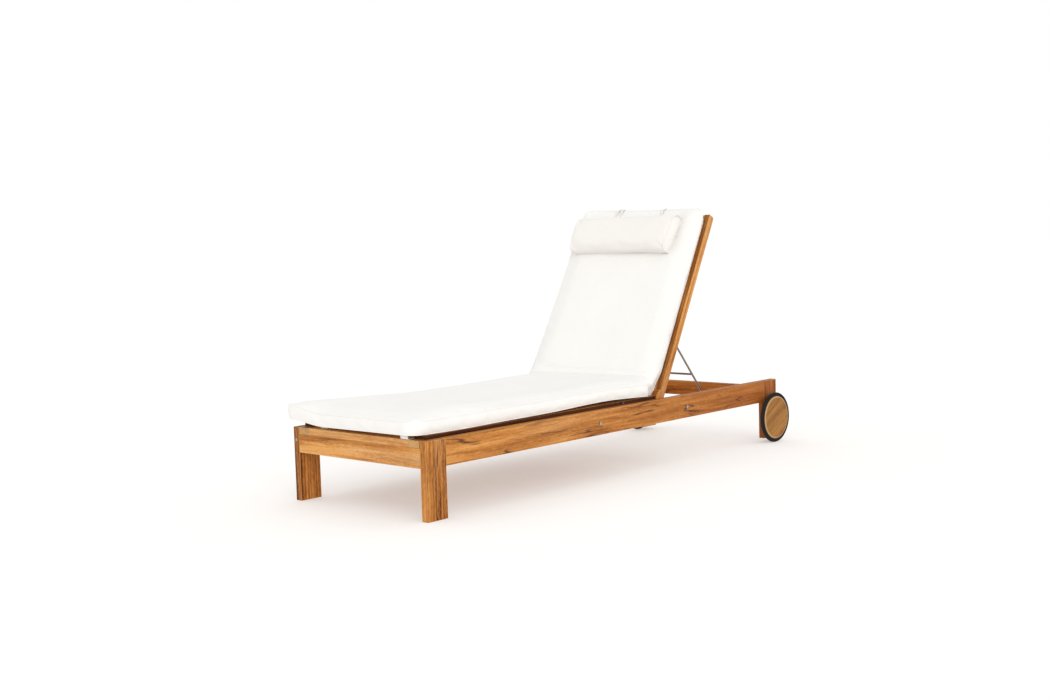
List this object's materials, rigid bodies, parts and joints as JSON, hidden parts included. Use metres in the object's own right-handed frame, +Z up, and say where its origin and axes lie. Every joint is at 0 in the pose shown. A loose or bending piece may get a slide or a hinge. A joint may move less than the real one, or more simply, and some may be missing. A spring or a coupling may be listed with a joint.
{
  "type": "sun lounger",
  "caption": "Teak sun lounger with two foot legs, two wheels at the head end, slatted seat, propped reclining backrest, boxed cushion and head pillow.",
  "frame": {"origin": "on the floor, under the middle of the whole lounger's length and width", "axes": "+X towards the right side seen from the foot end, +Y from the foot end to the head end, +Z up"},
  "size_m": [0.736, 2.069, 0.9707],
  "materials": {
    "frame_teak": "sanded and oiled",
    "seat_teak": "sanded and oiled",
    "back_teak": "sanded and oiled",
    "wheel_teak": "sanded and oiled",
    "dowel_wood": "plain",
    "tyre_rubber": "matte",
    "fastener_steel": "satin stainless",
    "prop_steel": "satin stainless",
    "nylon": "plain",
    "cushion_canvas": "fine plain weave",
    "pillow_canvas": "fine plain weave",
    "webbing": "woven tape"
  },
  "bodies": {
    "frame": {"side_rail_left": "frame_teak", "side_rail_right": "frame_teak", "foot_leg_left": "frame_teak", "foot_leg_right": "frame_teak", "head_leg_left": "frame_teak", "head_leg_right": "frame_teak", "foot_rail": "frame_teak", "head_rail": "frame_teak", "mid_rail": "frame_teak", "hinge_rail": "frame_teak", "seat_stile_left": "seat_teak", "seat_stile_right": "seat_teak", "seat_front_rail": "seat_teak", "seat_slats": "seat_teak", "frame_dowels": "dowel_wood", "rail_bolts": "fastener_steel", "barrel_nuts": "fastener_steel", "leg_bolts": "fastener_steel", "hinge_bolts": "fastener_steel", "hinge_washers": "nylon", "rack_left": "frame_teak", "rack_right": "frame_teak", "rack_screws": "fastener_steel", "axle_bolts": "fastener_steel", "axle_nuts": "fastener_steel", "axle_washers": "fastener_steel", "seat_cushion": "cushion_canvas", "tie_straps": "webbing"},
    "backrest": {"back_stile_left": "back_teak", "back_stile_right": "back_teak", "back_top_rail": "back_teak", "back_slat_1": "back_teak", "back_slat_2": "back_teak", "back_slat_3": "back_teak", "back_slat_4": "back_teak", "back_slat_5": "back_teak", "back_slat_6": "back_teak", "back_slat_7": "back_teak", "back_slat_8": "back_teak", "hinge_bushes": "nylon", "prop_brackets": "prop_steel", "prop_pins": "fastener_steel", "bracket_screws": "fastener_steel", "back_cushion": "cushion_canvas", "head_pillow": "pillow_canvas", "pillow_straps": "webbing"},
    "prop": {"prop_rod_left": "prop_steel", "prop_rod_right": "prop_steel", "prop_crossbar": "prop_steel", "prop_foot_pegs": "prop_steel"},
    "wheel_left": {"wheel_core_left": "wheel_teak", "wheel_cover_left": "wheel_teak", "tyre_left": "tyre_rubber", "wheel_bush_left": "nylon"},
    "wheel_right": {"wheel_core_right": "wheel_teak", "wheel_cover_right": "wheel_teak", "tyre_right": "tyre_rubber", "wheel_bush_right": "nylon"}
  },
  "joints": [
    {"name": "backrest_recline", "type": "hinge", "parent": "frame", "child": "backrest", "pos_m": [0, 0.2345, 0.235], "axis": [1, 0, 0], "range_deg": [-62.5, 4]},
    {"name": "prop_swing", "type": "hinge", "parent": "backrest", "child": "prop", "pos_m": [0, 0.35459, 0.46786], "axis": [1, 0, 0], "range_deg": [-7.1, 110.9]},
    {"name": "wheel_left_spin", "type": "hinge", "parent": "frame", "child": "wheel_left", "pos_m": [0, 0.9315, 0.103], "axis": [1, 0, 0], "continuous": true},
    {"name": "wheel_right_spin", "type": "hinge", "parent": "frame", "child": "wheel_right", "pos_m": [0, 0.9315, 0.103], "axis": [1, 0, 0], "continuous": true}
  ],
  "couplings": [
    {"joint": "prop_swing", "follows": "backrest_recline", "ratio": -1.7744}
  ]
}
